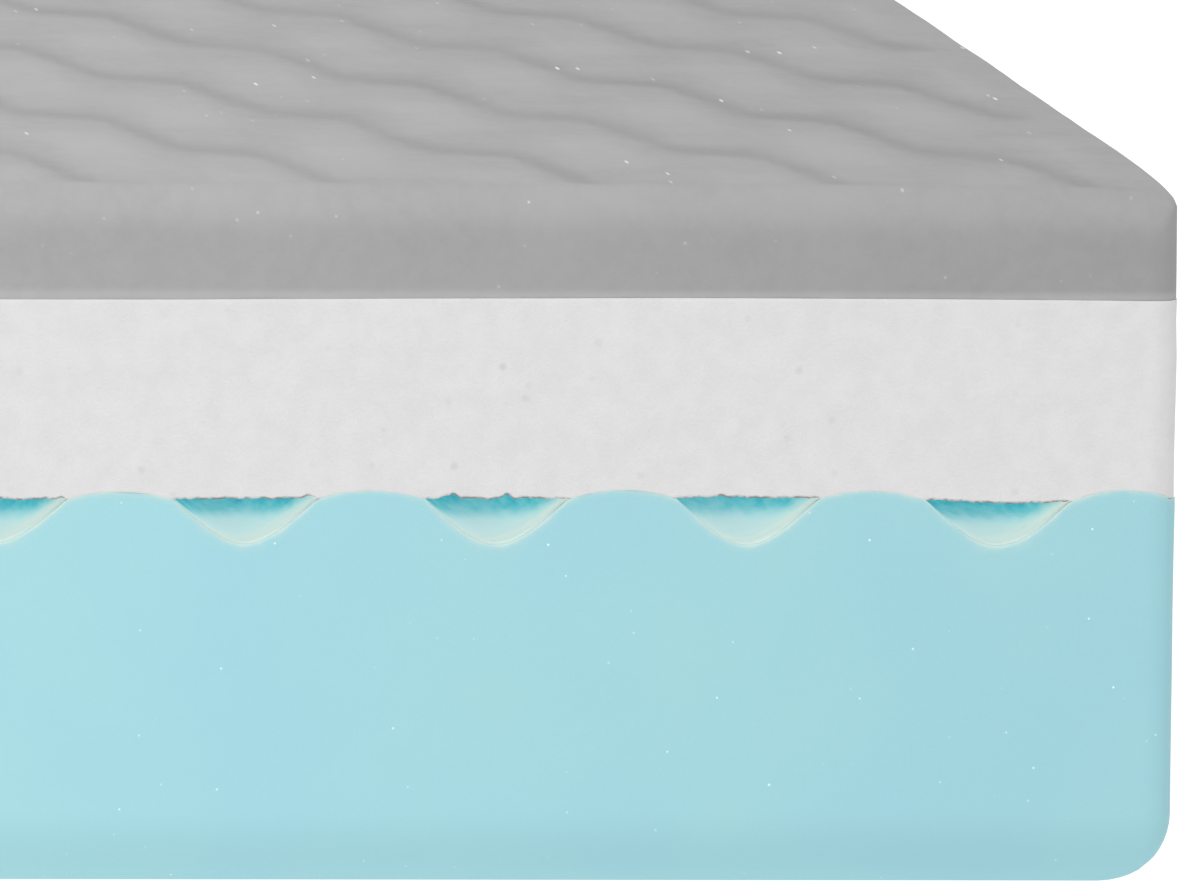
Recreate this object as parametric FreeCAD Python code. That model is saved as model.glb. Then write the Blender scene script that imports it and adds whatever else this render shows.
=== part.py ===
import FreeCAD, Part
import os

# Bare core of a three-layer foam mattress, lying flat. All sizes are in millimetres.
# Origin: middle of the underside. +X across the width, +Y along the length, +Z up.
# From the bottom: a support base whose top is cut into a wave with ridges along Y, a flat
# comfort layer glued down on the ridges, and a memory foam top with rounded upper edges.
# The troughs of the wave stay open under the comfort layer as air channels.

# Plan
WIDTH = 1500.0
LENGTH = 2000.0
CORNER_RADIUS = 10.0

# Heights above the surface that the mattress lies on
CREST_Z = 143.7
COMFORT_TOP_Z = 214.0
TOP_Z = 254.0

# Rounded edges round the top and the bottom
TOP_EDGE_RADIUS = 12.0
BOTTOM_EDGE_RADIUS = 22.0

# Wave on the support base: the same number of ridges and the same margin on both sides
CREST_COUNT = 17
EDGE_TO_CREST = 19.5
WAVE_DEPTH = 19.5
CREST_HALF_WIDTH = 19.5
CREST_PRESS = 3.1
FLANK_SLOPE = 0.85

# Glue between the layers. It stops short of both end faces, and of the sides of each ridge's cap.
GLUE = 0.3
GLUE_INSET = 14.0
GLUE_HALF_WIDTH = 17.0

# Room that a cutting tool is given past the surface it cuts
OVERCUT = 20.0

# Two edge positions closer than this are the same
SAME_PLACE = 0.02
LITRE = 1e6

COMFORT_UNDERSIDE_Z = CREST_Z - CREST_PRESS + GLUE
MEMORY_UNDERSIDE_Z = COMFORT_TOP_Z + GLUE
HALF_WIDTH = WIDTH / 2
HALF_LENGTH = LENGTH / 2
WAVE_PITCH = (WIDTH - 2 * EDGE_TO_CREST) / (CREST_COUNT - 1)
HALF_PITCH = WAVE_PITCH / 2
CRESTS_X = [EDGE_TO_CREST - HALF_WIDTH + k * WAVE_PITCH for k in range(CREST_COUNT)]


def point(x, z):
    return FreeCAD.Vector(x, 0.0, z)


def line(*points):
    """Straight edges from each point to the next."""
    return [Part.makeLine(a, b) for a, b in zip(points, points[1:])]


def bezier(*poles):
    curve = Part.BezierCurve()
    curve.setPoles(list(poles))
    return curve.toShape()


def cap(x, z, half_width):
    """The parabola over a ridge whose crest is at x, z, from one side of it to the other."""
    drop = CREST_PRESS * (half_width / CREST_HALF_WIDTH) ** 2
    left = point(x - half_width, z - drop)
    right = point(x + half_width, z - drop)
    return bezier(left, point(x, z + drop), right)


def flank(crest_x, side):
    """The cubic from the side of a ridge's cap down to the bottom of the trough next to it."""
    reach = (HALF_PITCH - CREST_HALF_WIDTH) / 3
    cap_x = crest_x + side * CREST_HALF_WIDTH
    trough_x = crest_x + side * HALF_PITCH
    cap_z = CREST_Z - CREST_PRESS
    trough_z = CREST_Z - WAVE_DEPTH
    poles = [
        point(cap_x, cap_z),
        point(cap_x + side * reach, cap_z - FLANK_SLOPE * reach),
        point(trough_x - side * reach, trough_z),
        point(trough_x, trough_z),
    ]
    return bezier(*poles) if side > 0 else bezier(*reversed(poles))


def prism(edges, y_from, y_to):
    """The closed outline of edges, drawn on the XZ plane, extruded along Y."""
    outline = Part.Face(Part.Wire(edges))
    outline.translate(FreeCAD.Vector(0.0, y_from, 0.0))
    return outline.extrude(FreeCAD.Vector(0.0, y_to - y_from, 0.0))


def block(z_from, z_to, inset=0.0):
    """A plain slab of the mattress's plan, drawn in by inset on all four sides."""
    corner = FreeCAD.Vector(inset - HALF_WIDTH, inset - HALF_LENGTH, z_from)
    return Part.makeBox(WIDTH - 2 * inset, LENGTH - 2 * inset, z_to - z_from, corner)


def is_upright(edge):
    ends = [v.Point for v in edge.Vertexes]
    return abs(ends[0].x - ends[-1].x) + abs(ends[0].y - ends[-1].y) < SAME_PLACE


def edges_at(shape, z):
    """The edges of shape that lie flat at the height z."""
    level = [(e, e.BoundBox.ZMin, e.BoundBox.ZMax) for e in shape.Edges]
    return [e for e, low, high in level if abs(low - z) + abs(high - z) < SAME_PLACE]


def rounded_block(z_from, z_to, round_z=None, radius=0.0):
    """A slab with rounded upright corners, and the edges at the height round_z rounded too."""
    slab = block(z_from, z_to)
    if round_z is not None:
        slab = slab.makeFillet(radius, edges_at(slab, round_z))
    return slab.makeFillet(CORNER_RADIUS, [e for e in slab.Edges if is_upright(e)])


def wave_cutter():
    """Everything above the wave, out past both sides and both ends of the support base."""
    edges = []
    for x in CRESTS_X:
        edges += [flank(x, -1), cap(x, CREST_Z, CREST_HALF_WIDTH), flank(x, 1)]
    left = point(CRESTS_X[0] - HALF_PITCH, CREST_Z - WAVE_DEPTH)
    right = point(CRESTS_X[-1] + HALF_PITCH, CREST_Z - WAVE_DEPTH)
    roof = CREST_Z + 2 * OVERCUT
    edges += line(right, point(right.x, roof), point(left.x, roof), left)
    return prism(edges, -HALF_LENGTH - OVERCUT, HALF_LENGTH + OVERCUT)


def ridge_print(x):
    """The shape that one glued ridge presses into the underside of the comfort layer."""
    below = COMFORT_UNDERSIDE_Z - OVERCUT
    left = point(x - CREST_HALF_WIDTH, COMFORT_UNDERSIDE_Z)
    right = point(x + CREST_HALF_WIDTH, COMFORT_UNDERSIDE_Z)
    edges = [cap(x, CREST_Z + GLUE, CREST_HALF_WIDTH)]
    edges += line(right, point(right.x, below), point(left.x, below), left)
    return prism(edges, -HALF_LENGTH - OVERCUT, HALF_LENGTH + OVERCUT)


def glue_strip(x):
    """The glue on one ridge: a thin curved strip that fills the space under its print."""
    under = cap(x, CREST_Z, GLUE_HALF_WIDTH)
    over = cap(x, CREST_Z + GLUE, GLUE_HALF_WIDTH)
    right = line(under.Vertexes[-1].Point, over.Vertexes[-1].Point)
    left = line(over.Vertexes[0].Point, under.Vertexes[0].Point)
    edges = [under] + right + [over] + left
    return prism(edges, GLUE_INSET - HALF_LENGTH, HALF_LENGTH - GLUE_INSET)


def support_base():
    slab = rounded_block(0.0, CREST_Z + OVERCUT, 0.0, BOTTOM_EDGE_RADIUS)
    return slab.cut(wave_cutter())


def comfort_layer():
    slab = rounded_block(COMFORT_UNDERSIDE_Z, COMFORT_TOP_Z)
    return slab.cut([ridge_print(x) for x in CRESTS_X])


def memory_layer():
    return rounded_block(MEMORY_UNDERSIDE_Z, TOP_Z, TOP_Z, TOP_EDGE_RADIUS)


def upper_glue():
    return block(COMFORT_TOP_Z, MEMORY_UNDERSIDE_Z, GLUE_INSET)


def lower_glue():
    return Part.makeCompound([glue_strip(x) for x in CRESTS_X])


NODES = {
    "support_base_foam": support_base,
    "lower_adhesive_strips": lower_glue,
    "comfort_foam": comfort_layer,
    "upper_adhesive_film": upper_glue,
    "top_memory_foam": memory_layer,
}

os.makedirs("parts", exist_ok=True)
for name, make in NODES.items():
    shape = make()
    shape.exportStep(f"parts/{name}.step")
    box = shape.BoundBox
    litres = shape.Volume / LITRE
    print(f"{name}: {len(shape.Solids)} solids, valid {shape.isValid()}, {litres:.1f} litres, "
          f"Z {box.ZMin:.2f} to {box.ZMax:.2f}, X {box.XMin:.1f} to {box.XMax:.1f}")
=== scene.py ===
import math

import bmesh
import bpy
import numpy as np
from mathutils import Matrix, Vector, noise


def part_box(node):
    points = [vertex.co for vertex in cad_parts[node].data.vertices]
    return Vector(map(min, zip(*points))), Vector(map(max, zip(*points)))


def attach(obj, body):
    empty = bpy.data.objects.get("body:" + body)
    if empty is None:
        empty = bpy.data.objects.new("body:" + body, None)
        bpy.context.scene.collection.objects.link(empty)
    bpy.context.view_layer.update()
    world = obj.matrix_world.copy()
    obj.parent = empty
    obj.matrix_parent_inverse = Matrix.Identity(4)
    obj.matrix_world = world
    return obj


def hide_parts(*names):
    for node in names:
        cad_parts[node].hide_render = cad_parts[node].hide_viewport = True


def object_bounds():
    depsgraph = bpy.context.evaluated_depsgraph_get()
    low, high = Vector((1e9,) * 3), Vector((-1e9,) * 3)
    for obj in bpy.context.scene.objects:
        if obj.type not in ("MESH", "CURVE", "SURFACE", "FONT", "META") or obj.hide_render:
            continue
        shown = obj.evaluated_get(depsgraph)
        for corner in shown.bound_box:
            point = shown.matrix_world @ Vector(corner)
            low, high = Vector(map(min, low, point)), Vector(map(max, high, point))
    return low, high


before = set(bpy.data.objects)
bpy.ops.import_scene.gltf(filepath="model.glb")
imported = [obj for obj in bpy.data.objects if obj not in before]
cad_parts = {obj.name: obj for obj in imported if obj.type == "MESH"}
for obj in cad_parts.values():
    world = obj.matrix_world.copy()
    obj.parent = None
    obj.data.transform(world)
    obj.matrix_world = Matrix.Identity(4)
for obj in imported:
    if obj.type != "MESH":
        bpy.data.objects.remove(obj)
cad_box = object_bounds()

# A bare three-layer foam mattress, lying flat, in metres. +X across the width, +Y along the
# length, +Z up, with the origin in the middle of the underside. Each layer is one closed mesh:
# rings that run round the edge from the top to the underside, closed by a grid at each end.

MM = 0.001

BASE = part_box("support_base_foam")
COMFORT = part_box("comfort_foam")
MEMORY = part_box("top_memory_foam")
HALF = np.array([cad_box[1].x, cad_box[1].y])
CORNER_RADIUS = 10 * MM

# Wave on the support base: ridges along Y, with the same margin beside the first and the last
CREST_COUNT = 17
EDGE_TO_CREST = 19.5 * MM
CREST_HALF_WIDTH = 19.5 * MM
CREST_PRESS = 3.1 * MM
WAVE_DEPTH = 19.5 * MM
FLANK_SLOPE = 0.85
PITCH = 2 * (HALF[0] - EDGE_TO_CREST) / (CREST_COUNT - 1)

# Grooves in the memory foam's top. Each crosses it in stairs, GROOVE_ROW nearer the front for
# every GROOVE_STEP to the right, and the next groove is two rows behind. ACROSS and ALONG are
# its half widths. TURN is half the share of a step that its riser takes, and LEAN is the share
# of the row that it goes forward evenly, outside the risers too.
GROOVE_DEPTH = 0.6 * MM
GROOVE_ACROSS = 6 * MM
GROOVE_ALONG = 25 * MM
GROOVE_ROW = 169 * MM
GROOVE_STEP = PITCH / 2
GROOVE_TURN = 0.28
GROOVE_LEAN = 0.25
GROOVE_FIRST_X = 73.1 * MM
GROOVE_FIRST_ROW = 78 * MM
GROOVE_WANDER_X = 3 * MM
GROOVE_WANDER_Y = 8 * MM

# Swellings between the grooves. They start and are full this many groove widths away.
BULGE_HEIGHT = 0.6 * MM
BULGE_FROM = 1.6
BULGE_FULL = 6.5

# The relief starts and is full this far in from the edges
RELIEF_FROM = 10 * MM
RELIEF_FULL = 26 * MM

# Rounded edges
END_ROUND = 15 * MM
SIDE_ROUND = 3.5 * MM
BOTTOM_ROUND = np.array([27, 22, 26]) * MM
CUT_ROUND = 1.2 * MM
FREE_ROUND = 0.25 * MM
GLUED_ROUND = 0.1 * MM
SMALLEST_CORNER = 2 * MM

# Worn corners of the top: how much lower they are, and how far the wear reaches
DROOP = 4.4 * MM
DROOP_ACROSS = 20 * MM
DROOP_ALONG = 40 * MM

# Torn lower edge of the comfort layer: ragged all along, hanging a little low, with notches over
# the channels. From TEAR_DEPTH inwards the underside is whole again.
TEAR_RAGGED = 0.5 * MM
TEAR_NOTCH = 5 * MM
TEAR_HANG = 0.1 * MM
TEAR_DEPTH = 45 * MM

# The glued faces are flat from here inwards
GLUE_INSET = 14 * MM

# Walls that a saw or a mould leaves a little uneven, the lower two layers a little proud
WALL_UNEVEN = 0.5 * MM
WALL_PROUD = 0.5 * MM

# The upper joint is highest at JOINT_PEAK from the middle, and every JOINT_PITCH from there
JOINT_SAG = 0.7 * MM
JOINT_PEAK = 610 * MM
JOINT_PITCH = 620 * MM
JOINT_UNEVEN = 0.15 * MM

# Where the lower joint rises or sags, from the middle outwards: (place, half width, height)
SWELLS = (
    (350 * MM, 50 * MM, -0.7 * MM),
    (590 * MM, 60 * MM, 0.8 * MM),
    (690 * MM, 22 * MM, -1.2 * MM),
    (735 * MM, 20 * MM, 1.0 * MM),
)

# Ends of the channels. The foam is drawn paler as far in as LIP_REACH. It has painted shade under
# the roof, down to SHADE_DEPTH at the opening and to SHADE_FALL less for each step in. The painted
# light that it gives off fades out deep inside.
LIP_REACH = 40 * MM
SHADE_DEPTH = 11 * MM
SHADE_FALL = 0.09
GLOW_FADES = 180 * MM
GLOW_GONE = 600 * MM

# Steps of the grids on faces that are flat or hidden, and on the support's top from each end in
FLAT_STEP = 60 * MM
MIDDLE_STEP = 100 * MM
END_STEPS = np.array([0, 4, 8, 13, 20, 30, 45, 65, 90, 130, 200]) * MM


# Numbers ------------------------------------------------------------------------------------

def spread(low, high, step):
    """Places from low to high, about a step apart, with both ends."""
    return np.linspace(low, high, max(2, round((high - low) / step) + 1))


def smooth(value, low, high):
    """0 below low, 1 above high, and a smooth rise between them."""
    t = np.clip((value - low) / (high - low), 0, 1)
    return t * t * (3 - 2 * t)


def ripple(points, size, octaves=3):
    """Smooth noise from about -1 to 1 at each point, in waves of about the given size."""
    return np.array([noise.fractal(Vector(p) / size, 1.0, 2.0, octaves) for p in points])


def swell(x):
    """How far the lower joint is above or below its plain height at x."""
    return sum(rise * np.exp(-((np.abs(x) - place) / reach) ** 2) for place, reach, rise in SWELLS)


def wave_height(x):
    """Height of the support base's top over the place x."""
    from_crest = np.abs((x + HALF[0] - EDGE_TO_CREST + PITCH / 2) % PITCH - PITCH / 2)
    crest = BASE[1].z + swell(x)
    cap = crest - CREST_PRESS * (from_crest / CREST_HALF_WIDTH) ** 2
    run = PITCH / 2 - CREST_HALF_WIDTH
    t = np.clip((from_crest - CREST_HALF_WIDTH) / run, 0, 1)
    start = crest - CREST_PRESS
    pull = start - FLANK_SLOPE * run / 3
    low = BASE[1].z - WAVE_DEPTH
    flank = start * (1 - t) ** 3 + 3 * pull * t * (1 - t) ** 2 + low * t * t * (3 - 2 * t)
    return np.where(from_crest < CREST_HALF_WIDTH, cap, flank)


def gap(x):
    """How far the wave is below the comfort layer at x, and 0 or less on the glued ridges."""
    return COMFORT[0].z + swell(x) - wave_height(x)


def underside_height(x):
    """Height of the comfort layer's underside: flat, with the ridges pressed into it."""
    return wave_height(x) + np.maximum(gap(x), 0)


def grooves(x, y):
    """(groove, bulge) at x, y, about 0 to 1 each: the stepped grooves, and the lens-shaped
    swellings where two grooves are furthest apart. Both fade out before the rounded edges."""
    places = np.column_stack([x, y, np.zeros(len(x))])
    x = x + GROOVE_WANDER_X * ripple(places, 0.12, 1)
    y = y + GROOVE_WANDER_Y * ripple(places + 5.0, 0.15, 1)
    steps = (x - GROOVE_FIRST_X) / GROOVE_STEP + 0.5
    rows = (y + HALF[1] - GROOVE_FIRST_ROW) / GROOVE_ROW
    turn = np.clip((steps % 1 - 0.5 + GROOVE_TURN) / (2 * GROOVE_TURN), 0, 1)
    stair = np.floor(steps) + turn * turn * (3 - 2 * turn)
    phase = rows - 0.5 + (1 - GROOVE_LEAN) * stair + GROOVE_LEAN * steps
    off = phase - 2 * np.round(phase / 2)
    steepness = GROOVE_LEAN + (1 - GROOVE_LEAN) * 3 * turn * (1 - turn) / GROOVE_TURN
    width = np.hypot(steepness * GROOVE_ACROSS / GROOVE_STEP, GROOVE_ALONG / GROOVE_ROW)
    away = np.abs(off) / width
    inset = np.minimum(HALF[0] - np.abs(places[:, 0]), HALF[1] - np.abs(places[:, 1]))
    fade = smooth(inset, RELIEF_FROM, RELIEF_FULL)
    strength = 1 + 0.3 * ripple(places + 9.0, 0.15, 1)
    return fade * strength * np.exp(-away ** 2), fade * smooth(away, BULGE_FROM, BULGE_FULL)


def top_relief(x, y):
    """How far the memory foam's top is below its full height at x, y."""
    groove, bulge = grooves(x, y)
    return corner_droop(x, y) + GROOVE_DEPTH * groove - BULGE_HEIGHT * bulge


# Meshes -------------------------------------------------------------------------------------

def loop(xs, ys):
    """The border of the grid xs by ys, once round from its front left corner.
    Returns the places, and how far round each is, with 4 for the whole way."""
    wide = (xs - xs[0]) / (xs[-1] - xs[0])
    deep = (ys - ys[0]) / (ys[-1] - ys[0])
    front = [(x, ys[0]) for x in xs[:-1]]
    right = [(xs[-1], y) for y in ys[:-1]]
    back = [(x, ys[-1]) for x in xs[:0:-1]]
    left = [(xs[0], y) for y in ys[:0:-1]]
    way = [wide[:-1], 1 + deep[:-1], 3 - wide[:0:-1], 4 - deep[:0:-1]]
    return np.array(front + right + back + left), np.concatenate(way)


def border(grid):
    """The border of a grid of vertex numbers, in the same order as loop."""
    return np.concatenate([grid[:-1, 0], grid[-1, :-1], grid[:0:-1, -1], grid[0, :0:-1]])


class Rim:
    """The vertices of one ring round a slab, which every ring of that slab repeats."""

    def __init__(self, step_x, step_y):
        xs = spread(-HALF[0], HALF[0], step_x)
        ys = spread(-HALF[1], HALF[1], step_y)
        self.places, self.way = loop(xs, ys)
        self.outward = self.split(self.places, HALF, CORNER_RADIUS)[1]
        self.side = self.outward[:, 0] ** 2

    @staticmethod
    def split(places, half, radius):
        """The centre of the rounding behind each place, and the direction from it outwards."""
        core = np.clip(places, radius - half, half - radius)
        out = places - core
        return core, out / np.linalg.norm(out, axis=1, keepdims=True)

    def blend(self, at_side, at_end):
        """A value at the side walls, another at the end walls, and a turn between them."""
        return at_side * self.side + at_end * (1 - self.side)

    def ring(self, inset_x, inset_y, z):
        """The rim drawn in by the insets, with rounded corners, at the height z. Only the places
        within two insets of an end move along the wall, so the rest stay in line with the rim."""
        count = len(self.places)
        inset = np.column_stack([np.broadcast_to(v, count) for v in (inset_x, inset_y)])
        half = HALF - inset
        radius = np.maximum(CORNER_RADIUS - inset.min(axis=1, keepdims=True), SMALLEST_CORNER)
        squeeze = np.maximum(np.abs(self.places) - HALF + 2 * inset, 0) / 2
        core, out = self.split(self.places - np.sign(self.places) * squeeze, half, radius)
        return np.column_stack([core + radius * out, np.broadcast_to(z, count)])


class Shell:
    """Collects the vertices and faces of one closed piece."""

    def __init__(self):
        self.points = []
        self.faces = []
        self.count = 0

    def add(self, points):
        """Adds vertices, and returns their numbers."""
        first = self.count
        self.points.append(points)
        self.count += len(points)
        return np.arange(first, self.count)

    def wall(self, upper, lower):
        """Four-sided faces between two rings."""
        sides = [upper, np.roll(upper, -1), np.roll(lower, -1), lower]
        self.faces += np.column_stack(sides).tolist()

    def stitch(self, outer, outer_way, inner, inner_way):
        """Triangles between two rings whose vertices don't pair up."""
        a, b = 0, 0
        outer_way = np.append(outer_way, 4.0)
        inner_way = np.append(inner_way, 4.0)
        while a < len(outer) or b < len(inner):
            here, there = outer[a % len(outer)], inner[b % len(inner)]
            if b == len(inner) or (a < len(outer) and outer_way[a + 1] <= inner_way[b + 1]):
                a += 1
                self.faces.append([here, outer[a % len(outer)], there])
            else:
                b += 1
                self.faces.append([here, inner[b % len(inner)], there])

    def lid(self, ring, rim, xs, ys, height):
        """A grid of the places xs by ys at the height that a function gives, joined to a ring."""
        x, y = (v.ravel() for v in np.meshgrid(xs, ys, indexing="ij"))
        grid = self.add(np.column_stack([x, y, height(x, y)])).reshape(len(xs), len(ys))
        corners = [grid[:-1, :-1], grid[1:, :-1], grid[1:, 1:], grid[:-1, 1:]]
        self.faces += np.column_stack([c.ravel() for c in corners]).tolist()
        self.stitch(ring, rim.way, border(grid), loop(xs, ys)[1])

    def slab(self, rim, rings):
        """Every ring from the top down, joined to the next. Returns the first and the last."""
        numbers = [self.add(r) for r in rings]
        for upper, lower in zip(numbers, numbers[1:]):
            self.wall(upper, lower)
        return numbers[0], numbers[-1]

    def build(self, name, **values):
        """The piece itself, smooth shaded, with any values given for its vertices."""
        mesh = bpy.data.meshes.new(name)
        mesh.from_pydata(np.concatenate(self.points).tolist(), [], self.faces)
        work = bmesh.new()
        work.from_mesh(mesh)
        bmesh.ops.recalc_face_normals(work, faces=work.faces)
        work.to_mesh(mesh)
        work.free()
        for key, value in values.items():
            mesh.attributes.new(key, "FLOAT", "POINT").data.foreach_set("value", value)
        mesh.shade_smooth()
        piece = bpy.data.objects.new(name, mesh)
        bpy.context.scene.collection.objects.link(piece)
        return piece


def quarter(steps):
    """(inset, drop) shares of a rounded edge's radius, from its top to its side."""
    angles = np.linspace(0, math.pi / 2, steps + 1)
    return [(1 - math.sin(a), 1 - math.cos(a)) for a in angles]


def inner_places(half, inset, step):
    """Places along one axis, about a step apart, drawn in by inset at both ends."""
    return spread(inset - half, half - inset, step)


def joint_height(rim):
    """The joint between the two upper layers isn't quite level round the edge."""
    flat = np.column_stack([rim.places, np.zeros(len(rim.places))])
    turns = (np.abs(flat[:, 0]) - JOINT_PEAK) / JOINT_PITCH
    sag = JOINT_SAG * (1 - np.cos(2 * np.pi * turns))
    return COMFORT[1].z - sag + JOINT_UNEVEN * ripple(flat, 0.1, 2)


def uneven(rings, rim, size, seed, proud=0.0):
    """Moves the walls in and out a little, in waves of the given size, and out by proud."""
    moved = []
    for ring in rings:
        push = proud + WALL_UNEVEN * ripple(ring + seed, size)
        moved.append(ring + np.column_stack([rim.outward * push[:, None], np.zeros(len(ring))]))
    return moved


# Layers -------------------------------------------------------------------------------------

def corner_droop(x, y):
    """How much lower the worn corners of the top are."""
    in_x = HALF[0] - np.abs(x)
    in_y = HALF[1] - np.abs(y)
    return DROOP * np.exp(-in_x / DROOP_ACROSS) * np.exp(-in_y / DROOP_ALONG)


def memory_foam():
    rim = Rim(6 * MM, 8 * MM)
    top, joint = MEMORY[1].z, joint_height(rim)
    radius = rim.blend(SIDE_ROUND, END_ROUND)
    rings = []
    for inset, drop in quarter(9):
        rings.append(rim.ring(SIDE_ROUND * inset, END_ROUND * inset, top - radius * drop))
    head, foot = top - radius, joint + GLUED_ROUND
    for share in (0.04, 0.2, 0.45, 0.7, 0.9, 0.98, 1.0):
        rings.append(rim.ring(0, 0, head + (foot - head) * share))
    for inset, drop in reversed(quarter(3)[:-1]):
        z = joint + GLUED_ROUND * drop
        rings.append(rim.ring(GLUED_ROUND * inset, GLUED_ROUND * inset, z))
    rings.append(rim.ring(GLUE_INSET, GLUE_INSET, MEMORY[0].z))
    rings = uneven(rings, rim, 0.12, 3.0)
    for ring in rings:
        share = (ring[:, 2] - MEMORY[0].z) / (top - MEMORY[0].z)
        ring[:, 2] -= corner_droop(ring[:, 0], ring[:, 1]) * share
    shell = Shell()
    first, last = shell.slab(rim, rings)
    xs = inner_places(HALF[0], SIDE_ROUND + 4 * MM, 4.4 * MM)
    ys = inner_places(HALF[1], END_ROUND + 4 * MM, 10 * MM)
    shell.lid(first, rim, xs, ys, lambda x, y: top - top_relief(x, y))
    xs = inner_places(HALF[0], 2 * GLUE_INSET, FLAT_STEP)
    ys = inner_places(HALF[1], 2 * GLUE_INSET, FLAT_STEP)
    shell.lid(last, rim, xs, ys, lambda x, y: np.full(len(x), MEMORY[0].z))
    x, y, z = np.concatenate(shell.points).T
    groove, bulge = grooves(x, y) * (z > foot.max())
    return shell.build("memory_foam_top", groove=groove, bulge=bulge)


def torn_edge(rim):
    """(height, share) of the torn lower edge of the comfort layer, round the rim: how far it is
    torn upwards, and how much of it hangs free over a channel."""
    flat = np.column_stack([rim.places, np.zeros(len(rim.places))])
    free = smooth(gap(rim.places[:, 0]), 0, 1.5 * MM)
    ragged = TEAR_RAGGED * ripple(flat, 0.0035, 3)
    notch = TEAR_NOTCH * np.clip(ripple(flat + 7.0, 0.010, 2) - 0.3, 0, 0.36)
    return (0.1 + 0.9 * free) * ragged + free * notch, free


def comfort_foam():
    rim = Rim(1.0 * MM, 6 * MM)
    joint = joint_height(rim)
    torn, free = torn_edge(rim)
    under = underside_height(rim.places[:, 0]) + torn - TEAR_HANG
    edge_round = FREE_ROUND * free + GLUED_ROUND * (1 - free)
    rings = [rim.ring(GLUE_INSET, GLUE_INSET, COMFORT[1].z)]
    for inset, drop in quarter(2):
        z = joint - GLUED_ROUND * drop
        rings.append(rim.ring(GLUED_ROUND * inset, GLUED_ROUND * inset, z))
    head, foot = joint - GLUED_ROUND, under + edge_round
    for share in (0.02, 0.12, 0.28, 0.44, 0.6, 0.76, 0.9, 0.97, 0.99, 1.0):
        rings.append(rim.ring(0, 0, head + (foot - head) * share))
    for inset, drop in reversed(quarter(2)[:-1]):
        rings.append(rim.ring(edge_round * inset, edge_round * inset, under + edge_round * drop))
    inner = rim.ring(GLUE_INSET, TEAR_DEPTH, 0)
    inner[:, 2] = underside_height(inner[:, 0]) + torn
    rings.append(inner)
    rings = uneven(rings, rim, 0.02, 11.0, WALL_PROUD)
    shell = Shell()
    first, last = shell.slab(rim, rings)
    xs = inner_places(HALF[0], 2 * GLUE_INSET, FLAT_STEP)
    ys = inner_places(HALF[1], 2 * GLUE_INSET, FLAT_STEP)
    shell.lid(first, rim, xs, ys, lambda x, y: np.full(len(x), COMFORT[1].z))
    xs = inner_places(HALF[0], GLUE_INSET + 4 * MM, 3.5 * MM)
    ys = inner_places(HALF[1], TEAR_DEPTH + 10 * MM, FLAT_STEP)
    shell.lid(last, rim, xs, ys, lambda x, y: underside_height(x))
    # The torn lower edge is drawn dark brown where it hangs free over a channel
    soiled = np.zeros(shell.count)
    wall_foot = len(rings) - 4
    for number, share in enumerate((0.8, 1.0, 0.8), wall_foot):
        soiled[number * len(free):(number + 1) * len(free)] = share * free
    return shell.build("comfort_foam_layer", soiled=soiled)


def support_foam():
    rim = Rim(2 * MM, 10 * MM)
    crown = wave_height(rim.places[:, 0])
    glued = smooth(gap(rim.places[:, 0]), 3 * MM, 0)
    cut_round = GLUED_ROUND * glued + CUT_ROUND * (1 - glued)
    rings = []
    for inset, drop in quarter(4):
        rings.append(rim.ring(cut_round * inset, cut_round * inset, crown - cut_round * drop))
    head = crown - cut_round
    for below in (0.5 * MM, 1.2 * MM, 2.5 * MM, 5 * MM, 9 * MM):
        rings.append(rim.ring(0, 0, head - below))
    start = head - 9 * MM
    for share in (0.12, 0.3, 0.5, 0.7, 0.88, 0.97, 1.0):
        rings.append(rim.ring(0, 0, start + (BOTTOM_ROUND[2] - start) * share))
    for inset, drop in list(reversed(quarter(12)))[1:]:
        rings.append(rim.ring(*(BOTTOM_ROUND * (inset, inset, drop))))
    rings = uneven(rings, rim, 0.15, 23.0, WALL_PROUD)
    shell = Shell()
    first, last = shell.slab(rim, rings)
    xs = inner_places(HALF[0], 4 * MM, 2.6 * MM)
    near = 4 * MM + END_STEPS
    middle = inner_places(HALF[1], near[-1], MIDDLE_STEP)
    ys = np.concatenate([near[:-1] - HALF[1], middle, HALF[1] - near[-2::-1]])
    shell.lid(first, rim, xs, ys, lambda x, y: wave_height(x))
    xs = inner_places(HALF[0], BOTTOM_ROUND[0] + 10 * MM, FLAT_STEP)
    ys = inner_places(HALF[1], BOTTOM_ROUND[1] + 10 * MM, FLAT_STEP)
    shell.lid(last, rim, xs, ys, lambda x, y: np.zeros(len(x)))
    lip, shade, glow = channel_ends(np.concatenate(shell.points))
    return shell.build("support_foam_base", lip=lip, shade=shade, glow=glow)


def between_ridges(x):
    """1 between the first ridge and the last, and 0 in the margins outside them."""
    return smooth(HALF[0] - np.abs(x), EDGE_TO_CREST - 2 * MM, EDGE_TO_CREST + 2 * MM)


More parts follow.
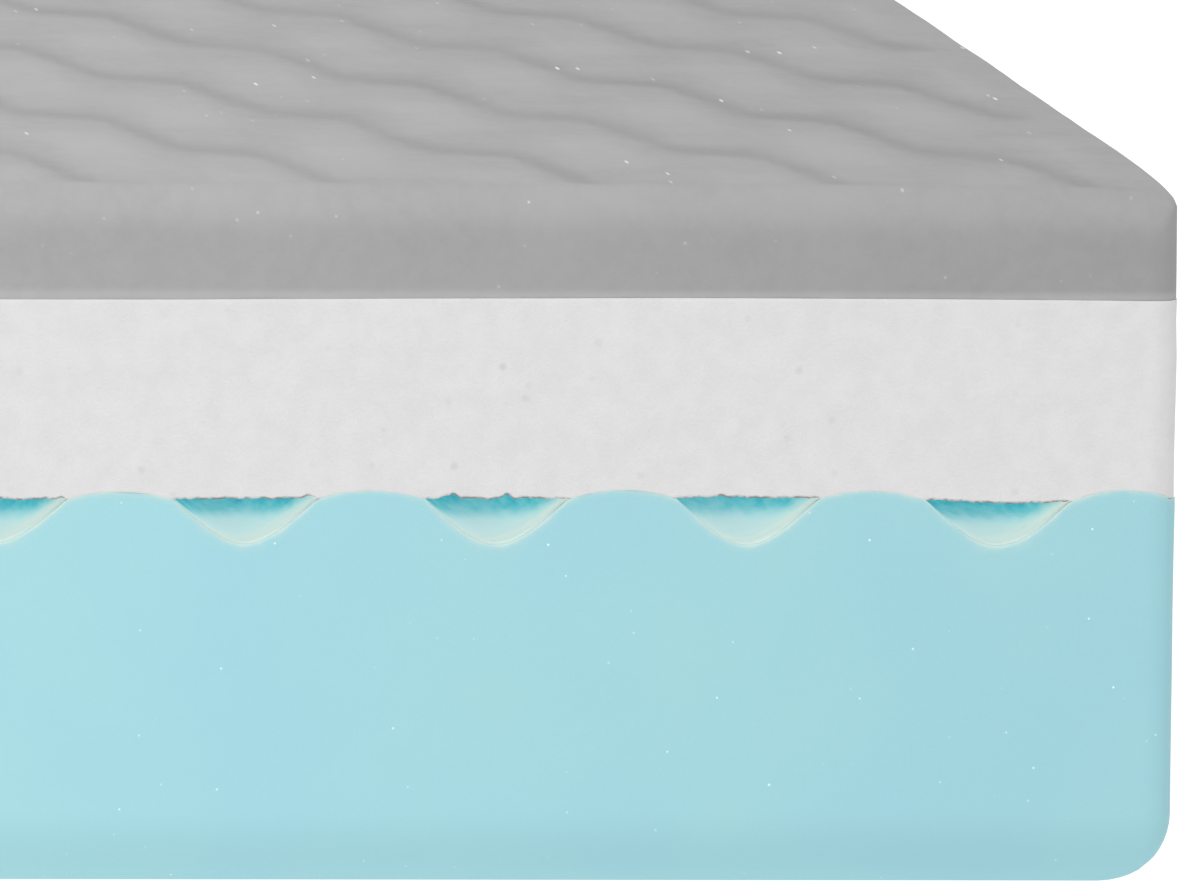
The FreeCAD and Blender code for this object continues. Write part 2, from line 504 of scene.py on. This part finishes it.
def channel_ends(points):
    """(lip, shade, glow) of each place on the support foam, from 0 to 1: how much paler the foam is
    drawn near an end, in the channels and on the ridge tops beside them, how dark the painted shade
    in a channel is, close under its roof, and how strongly the foam there gives off painted light,
    which stands in for light coming through the foam."""
    x, y, z = points.T
    inwards = HALF[1] - np.abs(y)
    below = np.maximum(wave_height(x) - z, 0)
    # Paler where a channel comes out at an end, and along the ridge tops beside it
    hollow = between_ridges(x) * smooth(gap(x), -1.5 * MM, 6 * MM)
    cut = hollow * np.exp(-below / (3 * MM)) * (1 - 0.35 * smooth(below, 0, 1.0 * MM))
    ridge = 0.75 * (1 - hollow) * np.exp(-below / (1.6 * MM))
    lip = np.exp(-(inwards / LIP_REACH) ** 2) * (cut + ridge)
    in_channel = between_ridges(x) * smooth(z, wave_height(x) - 1.5 * MM, wave_height(x) - 0.5 * MM)
    under_roof = gap(x) - SHADE_FALL * inwards
    shade = in_channel * smooth(inwards, -5 * MM, 55 * MM) * smooth(under_roof, SHADE_DEPTH, 0)
    # Painted light that the foam gives off inside a channel, in place of light coming through the
    # foam
    reach = 3 * MM + 1.2 * np.maximum(gap(x), 0)
    glow = 0.65 * smooth(inwards, 0, 3.5 * MM) + 0.35 * smooth(inwards, 2 * MM, reach)
    glow = in_channel * glow * smooth(inwards, GLOW_GONE, GLOW_FADES)
    return lip, shade, glow


# Materials ----------------------------------------------------------------------------------

# How far from the middle the painted shade starts that darkens the foam towards the long sides
SIDE_SHADE_FROM = 200 * MM
BLACK = (0.0, 0.0, 0.0)


class Shader:
    """One procedural material, with short calls that add its nodes."""

    def __init__(self, name, roughness, sheen):
        self.material = bpy.data.materials.new(name)
        self.material.use_nodes = True
        self.tree = self.material.node_tree
        self.surface = self.tree.nodes["Principled BSDF"]
        self.surface.inputs["Roughness"].default_value = roughness
        self.surface.inputs["Specular IOR Level"].default_value = 0.2
        self.surface.inputs["Sheen Weight"].default_value = sheen
        self.surface.inputs["Sheen Roughness"].default_value = 0.5
        self.place = self.tree.nodes.new("ShaderNodeTexCoord").outputs["Object"]

    def put(self, socket, value):
        """Links an output to a socket, or sets the socket to a plain value."""
        if isinstance(value, bpy.types.NodeSocket):
            self.tree.links.new(value, socket)
        elif isinstance(value, tuple) and len(value) == 3 and socket.type == "RGBA":
            socket.default_value = (*value, 1)
        else:
            socket.default_value = value

    def squashed(self, squash):
        """The place, scaled along each axis so that patterns on it stretch the other way."""
        node = self.tree.nodes.new("ShaderNodeMapping")
        self.put(node.inputs["Vector"], self.place)
        node.inputs["Scale"].default_value = squash
        return node.outputs["Vector"]

    def noise(self, size, detail=3, roughness=0.5, squash=(1, 1, 1)):
        """Noise with features of about the given size, from 0 to 1."""
        node = self.tree.nodes.new("ShaderNodeTexNoise")
        self.put(node.inputs["Vector"], self.squashed(squash))
        node.inputs["Scale"].default_value = 1 / size
        node.inputs["Detail"].default_value = detail
        node.inputs["Roughness"].default_value = roughness
        return node.outputs["Fac"]

    def spots(self, spacing, squash=(1, 1, 1)):
        """Distance to the nearest of many scattered points, in metres, and that point's number."""
        node = self.tree.nodes.new("ShaderNodeTexVoronoi")
        self.put(node.inputs["Vector"], self.squashed(squash))
        node.inputs["Scale"].default_value = 1 / spacing
        split = self.tree.nodes.new("ShaderNodeSeparateColor")
        self.put(split.inputs["Color"], node.outputs["Color"])
        return self.maths("MULTIPLY", node.outputs["Distance"], spacing), split.outputs["Red"]

    def attribute(self, name):
        """One of the values that the mesh has for each vertex."""
        node = self.tree.nodes.new("ShaderNodeAttribute")
        node.attribute_name = name
        return node.outputs["Fac"]

    def remap(self, value, low, high, to_low=0.0, to_high=1.0):
        """The value moved smoothly from one range to another, and held past both ends."""
        node = self.tree.nodes.new("ShaderNodeMapRange")
        node.interpolation_type = "SMOOTHSTEP"
        for key, number in zip(("Value", "From Min", "From Max", "To Min", "To Max"),
                               (value, low, high, to_low, to_high)):
            self.put(node.inputs[key], number)
        return node.outputs["Result"]

    def maths(self, operation, first, second):
        node = self.tree.nodes.new("ShaderNodeMath")
        node.operation = operation
        self.put(node.inputs[0], first)
        self.put(node.inputs[1], second)
        return node.outputs[0]

    def mix(self, share, first, second):
        """The first colour, with the given share of the second."""
        node = self.tree.nodes.new("ShaderNodeMix")
        node.data_type = "RGBA"
        self.put(node.inputs["Factor"], share)
        self.put(node.inputs["A"], first)
        self.put(node.inputs["B"], second)
        return node.outputs["Result"]

    def bump(self, height, distance, strength=1.0, under=None):
        """A normal from a height, on top of another bump if one is given."""
        node = self.tree.nodes.new("ShaderNodeBump")
        self.put(node.inputs["Height"], height)
        node.inputs["Distance"].default_value = distance
        node.inputs["Strength"].default_value = strength
        if under is not None:
            self.put(node.inputs["Normal"], under)
        return node.outputs["Normal"]

    def finish(self, colour, normal):
        """Sets what the surface shows, and returns the material."""
        self.put(self.surface.inputs["Base Color"], colour)
        self.put(self.surface.inputs["Normal"], normal)
        return self.material

    def axis(self, name):
        """X, Y or Z of the place, in metres."""
        node = self.tree.nodes.new("ShaderNodeSeparateXYZ")
        self.put(node.inputs["Vector"], self.place)
        return node.outputs[name]

    def shaded_towards_sides(self, colour, share):
        """The colour, with painted shade that darkens it by the share towards both long sides."""
        aside = self.maths("ABSOLUTE", self.axis("X"), 0.0)
        return self.mix(self.remap(aside, SIDE_SHADE_FROM, HALF[0], 0.0, share), colour, BLACK)

    def specks(self, colour, speck, spacing, radius, share=1.0, squash=(1, 1, 1)):
        """Sparse bright specks: bits of lint, and painted glints where a cell wall catches the
        light.
        """
        distance, number = self.spots(spacing, squash)
        number = self.maths("MULTIPLY", number, share)
        near = self.remap(distance, radius * 0.3, radius, 1.0, 0.0)
        return self.mix(self.maths("MULTIPLY", near, number), colour, speck)


def memory_material():
    s = Shader("grey_memory_foam", 0.95, 0.04)
    cloud = s.remap(s.noise(0.06, 4, 0.6), 0.3, 0.7)
    fine = s.remap(s.noise(0.006, 3, 0.6, (1, 0.4, 1)), 0.3, 0.7)
    colour = s.mix(cloud, (0.350, 0.350, 0.351), (0.375, 0.375, 0.376))
    colour = s.mix(s.maths("MULTIPLY", fine, 0.35), colour, (0.40, 0.40, 0.40))
    # Painted shade in the grooves and painted highlight on the swellings between them, on top of
    # their relief
    colour = s.mix(s.maths("MULTIPLY", s.attribute("groove"), 0.23), colour, (0.12, 0.12, 0.12))
    colour = s.mix(s.maths("MULTIPLY", s.attribute("bulge"), 0.16), colour, (0.55, 0.55, 0.55))
    # Painted shade: darker towards the long sides
    colour = s.shaded_towards_sides(colour, 0.15)
    # Painted shade: the walls below the rounded top edge are drawn 5% darker than the top
    cut = s.remap(s.axis("Z"), MEMORY[1].z - 22 * MM, MEMORY[1].z - 8 * MM, 0.05, 0.0)
    colour = s.mix(cut, colour, BLACK)
    # Painted highlight: a paler band along the foot of the grey layer, next to the white layer
    foot = s.remap(s.axis("Z"), MEMORY[0].z, MEMORY[0].z + 3.5 * MM, 0.25, 0.0)
    colour = s.mix(foot, colour, (0.55, 0.55, 0.55))
    # Lint and painted glints, fewer on the walls than on the top
    on_top = s.remap(s.axis("Z"), MEMORY[1].z - 14 * MM, MEMORY[1].z - 5 * MM, 0.2, 1.0)
    colour = s.specks(colour, (0.75, 0.75, 0.75), 9.5 * MM, 0.9 * MM, on_top, (1, 0.1, 1))
    cells = s.bump(s.noise(0.0012, 3, 0.7), 0.25 * MM, 0.5)
    return s.finish(colour, s.bump(s.noise(0.008, 2), 0.3 * MM, 0.5, cells))


def comfort_material():
    s = Shader("white_comfort_foam", 0.95, 0.05)
    cloud = s.remap(s.noise(0.009, 4, 0.6), 0.3, 0.7)
    colour = s.mix(cloud, (0.640, 0.640, 0.640), (0.670, 0.668, 0.667))
    # Painted shade: darker towards the long sides
    colour = s.shaded_towards_sides(colour, 0.03)
    # Painted shade of small dents: dark spots, with no dent in the mesh
    distance, number = s.spots(14 * MM)
    dent_shade = s.remap(distance, 0.4 * MM, 2.2 * MM, 0.5, 0.0)
    colour = s.mix(s.maths("MULTIPLY", dent_shade, number), colour, (0.45, 0.45, 0.45))
    # Dark brown along the torn lower edge over the channels
    broken = s.remap(s.noise(0.004, 3, 0.6), 0.35, 0.6, 0.2, 1.0)
    soiled = s.maths("MULTIPLY", s.attribute("soiled"), broken)
    colour = s.mix(soiled, colour, (0.16, 0.11, 0.10))
    cells = s.bump(s.noise(0.0015, 4, 0.75), 0.4 * MM, 0.6)
    return s.finish(colour, s.bump(s.noise(0.007, 3, 0.6), 0.3 * MM, 0.5, cells))


def support_material():
    """Blue foam. Inside the channels it gives off a little painted light: cream, then mint, and
    teal in the shade.
    """
    s = Shader("blue_support_foam", 0.9, 0.04)
    cloud = s.remap(s.noise(0.09, 3, 0.5), 0.3, 0.7)
    colour = s.mix(cloud, (0.350, 0.632, 0.675), (0.335, 0.615, 0.685))
    # Painted shade: darker towards the long sides
    colour = s.shaded_towards_sides(colour, 0.08)
    # Lint and painted glints
    colour = s.specks(colour, (0.80, 0.93, 0.95), 9 * MM, 0.6 * MM)
    broken = s.remap(s.noise(0.009, 4, 0.6), 0.25, 0.75, 0.55, 1.25)
    patchy = s.remap(s.noise(0.004, 3, 0.6, (1, 0.1, 1)), 0.3, 0.7, 0.85, 1.15)
    shade = s.maths("MULTIPLY", s.attribute("shade"), patchy)
    deep = s.remap(shade, 0.1, 1.0)
    colour = s.mix(deep, colour, (0.09, 0.52, 0.60))
    # Paler near the channel ends and on the ridge tops beside them
    lip = s.maths("MULTIPLY", s.attribute("lip"), broken)
    colour = s.mix(s.remap(lip, 0.05, 0.95), colour, (0.52, 0.66, 0.62))
    # Painted light given off inside the channels: cream, mint, then teal and darker teal in the
    # shade
    glow = s.mix(s.remap(shade, 0.0, 0.4), (0.42, 0.48, 0.455), (0.37, 0.49, 0.475))
    glow = s.mix(deep, glow, (0.075, 0.295, 0.315))
    glow = s.mix(s.remap(shade, 0.85, 1.15), glow, (0.02, 0.20, 0.25))
    glow = s.mix(s.attribute("glow"), BLACK, glow)
    s.put(s.surface.inputs["Emission Color"], glow)
    s.surface.inputs["Emission Strength"].default_value = 1.0
    cells = s.bump(s.noise(0.0012, 3, 0.7), 0.2 * MM, 0.5)
    return s.finish(colour, s.bump(s.noise(0.012, 2), 0.25 * MM, 0.5, cells))


def glue_material():
    s = Shader("dried_adhesive", 0.45, 0.0)
    cloud = s.remap(s.noise(0.015, 4, 0.6), 0.3, 0.7)
    colour = s.mix(cloud, (0.72, 0.64, 0.47), (0.82, 0.76, 0.62))
    return s.finish(colour, s.bump(s.noise(0.003, 3), 0.2 * MM, 0.6))


# Object -------------------------------------------------------------------------------------

def place_layer(piece, node, material):
    """Gives a layer its material, puts it on the root body, and hides the CAD node it stands in
    for.
    """
    piece.data.materials.append(material)
    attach(piece, "root")
    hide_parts(node)


place_layer(memory_foam(), "top_memory_foam", memory_material())
place_layer(comfort_foam(), "comfort_foam", comfort_material())
place_layer(support_foam(), "support_base_foam", support_material())

glue = glue_material()
for node in ("upper_adhesive_film", "lower_adhesive_strips"):
    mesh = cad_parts[node].data
    mesh.materials.clear()
    mesh.materials.append(glue)


# Studio -------------------------------------------------------------------------------------

FLOOR_HALF = 150
TABLE_LIGHT = 1.0
WORLD_LIGHT = 0.72
SUN_LIGHT = 1.55
SUN_SOFTNESS = math.radians(50)
SUN_HEIGHT = math.radians(64)
SUN_TURN = math.radians(28)
FILL_WATTS = 2.2
FILL_SIZE = 0.9
FILL_FROM = Vector((-1.3, -0.9, 0.8))


def make_floor():
    half = FLOOR_HALF
    mesh = bpy.data.meshes.new("floor")
    corners = [(-half, -half, 0), (half, -half, 0), (half, half, 0), (-half, half, 0)]
    mesh.from_pydata(corners, [], [(0, 1, 2, 3)])
    floor = bpy.data.objects.new("floor", mesh)
    bpy.context.scene.collection.objects.link(floor)
    s = Shader("pale_light_table", 0.8, 0.0)
    s.surface.inputs["Emission Color"].default_value = (1, 1, 1, 1)
    s.surface.inputs["Emission Strength"].default_value = TABLE_LIGHT
    cloud = s.noise(0.4, 2)
    mesh.materials.append(s.finish(s.mix(cloud, (0.10, 0.10, 0.10), (0.11, 0.11, 0.11)),
                                   s.bump(cloud, 0.1 * MM, 0.1)))


def make_world():
    world = bpy.data.worlds.new("studio")
    bpy.context.scene.world = world
    world.use_nodes = True
    world.node_tree.nodes["Background"].inputs["Color"].default_value = (1, 1, 1, 1)
    world.node_tree.nodes["Background"].inputs["Strength"].default_value = WORLD_LIGHT


def aim_light(name, light, position, target):
    """Puts a light at a position, pointing at the target, and hides the lamp from the camera."""
    lamp = bpy.data.objects.new(name, light)
    lamp.location = position
    lamp.rotation_euler = (target - position).to_track_quat("-Z", "Y").to_euler()
    lamp.visible_camera = False
    bpy.context.scene.collection.objects.link(lamp)


def make_lights(corner):
    """A broad soft light from high up in front, and a weak one close by on the left."""
    flat = Vector((-math.sin(SUN_TURN), -math.cos(SUN_TURN), 0)) * math.cos(SUN_HEIGHT)
    sun = bpy.data.lights.new("sun", "SUN")
    sun.energy = SUN_LIGHT
    sun.angle = SUN_SOFTNESS
    aim_light("sun", sun, corner + flat + Vector((0, 0, math.sin(SUN_HEIGHT))), corner)
    fill = bpy.data.lights.new("fill", "AREA")
    fill.energy = FILL_WATTS
    fill.size = FILL_SIZE
    aim_light("fill", fill, corner + FILL_FROM, corner)


CAMERA_LENS = 913.7
CAMERA_DISTANCE = 10.8605
CAMERA_YAW = math.radians(5.828)
CAMERA_PITCH = math.radians(5.108)
CAMERA_ROLL = math.radians(0.694)
AIM_IN_FROM_SIDE = 0.21378
AIM_HEIGHT = 0.16102


def make_camera():
    """A long lens on the right half of the front end, from a little above and to the left."""
    aim = Vector((HALF[0] - AIM_IN_FROM_SIDE, -HALF[1], AIM_HEIGHT))
    turn = Matrix.Rotation(-CAMERA_YAW, 4, "Z")
    turn = turn @ Matrix.Rotation(math.pi / 2 - CAMERA_PITCH, 4, "X")
    turn = turn @ Matrix.Rotation(CAMERA_ROLL, 4, "Z")
    back = Matrix.Translation((0, 0, CAMERA_DISTANCE))
    data = bpy.data.cameras.new("camera")
    data.lens = CAMERA_LENS
    data.sensor_width = 36
    camera = bpy.data.objects.new("camera", data)
    camera.matrix_world = Matrix.Translation(aim) @ turn @ back
    bpy.context.scene.collection.objects.link(camera)
    bpy.context.scene.camera = camera


make_floor()
make_world()
make_lights(Vector((HALF[0], -HALF[1], MEMORY[1].z)))
make_camera()
bpy.context.scene.view_settings.view_transform = "Standard"
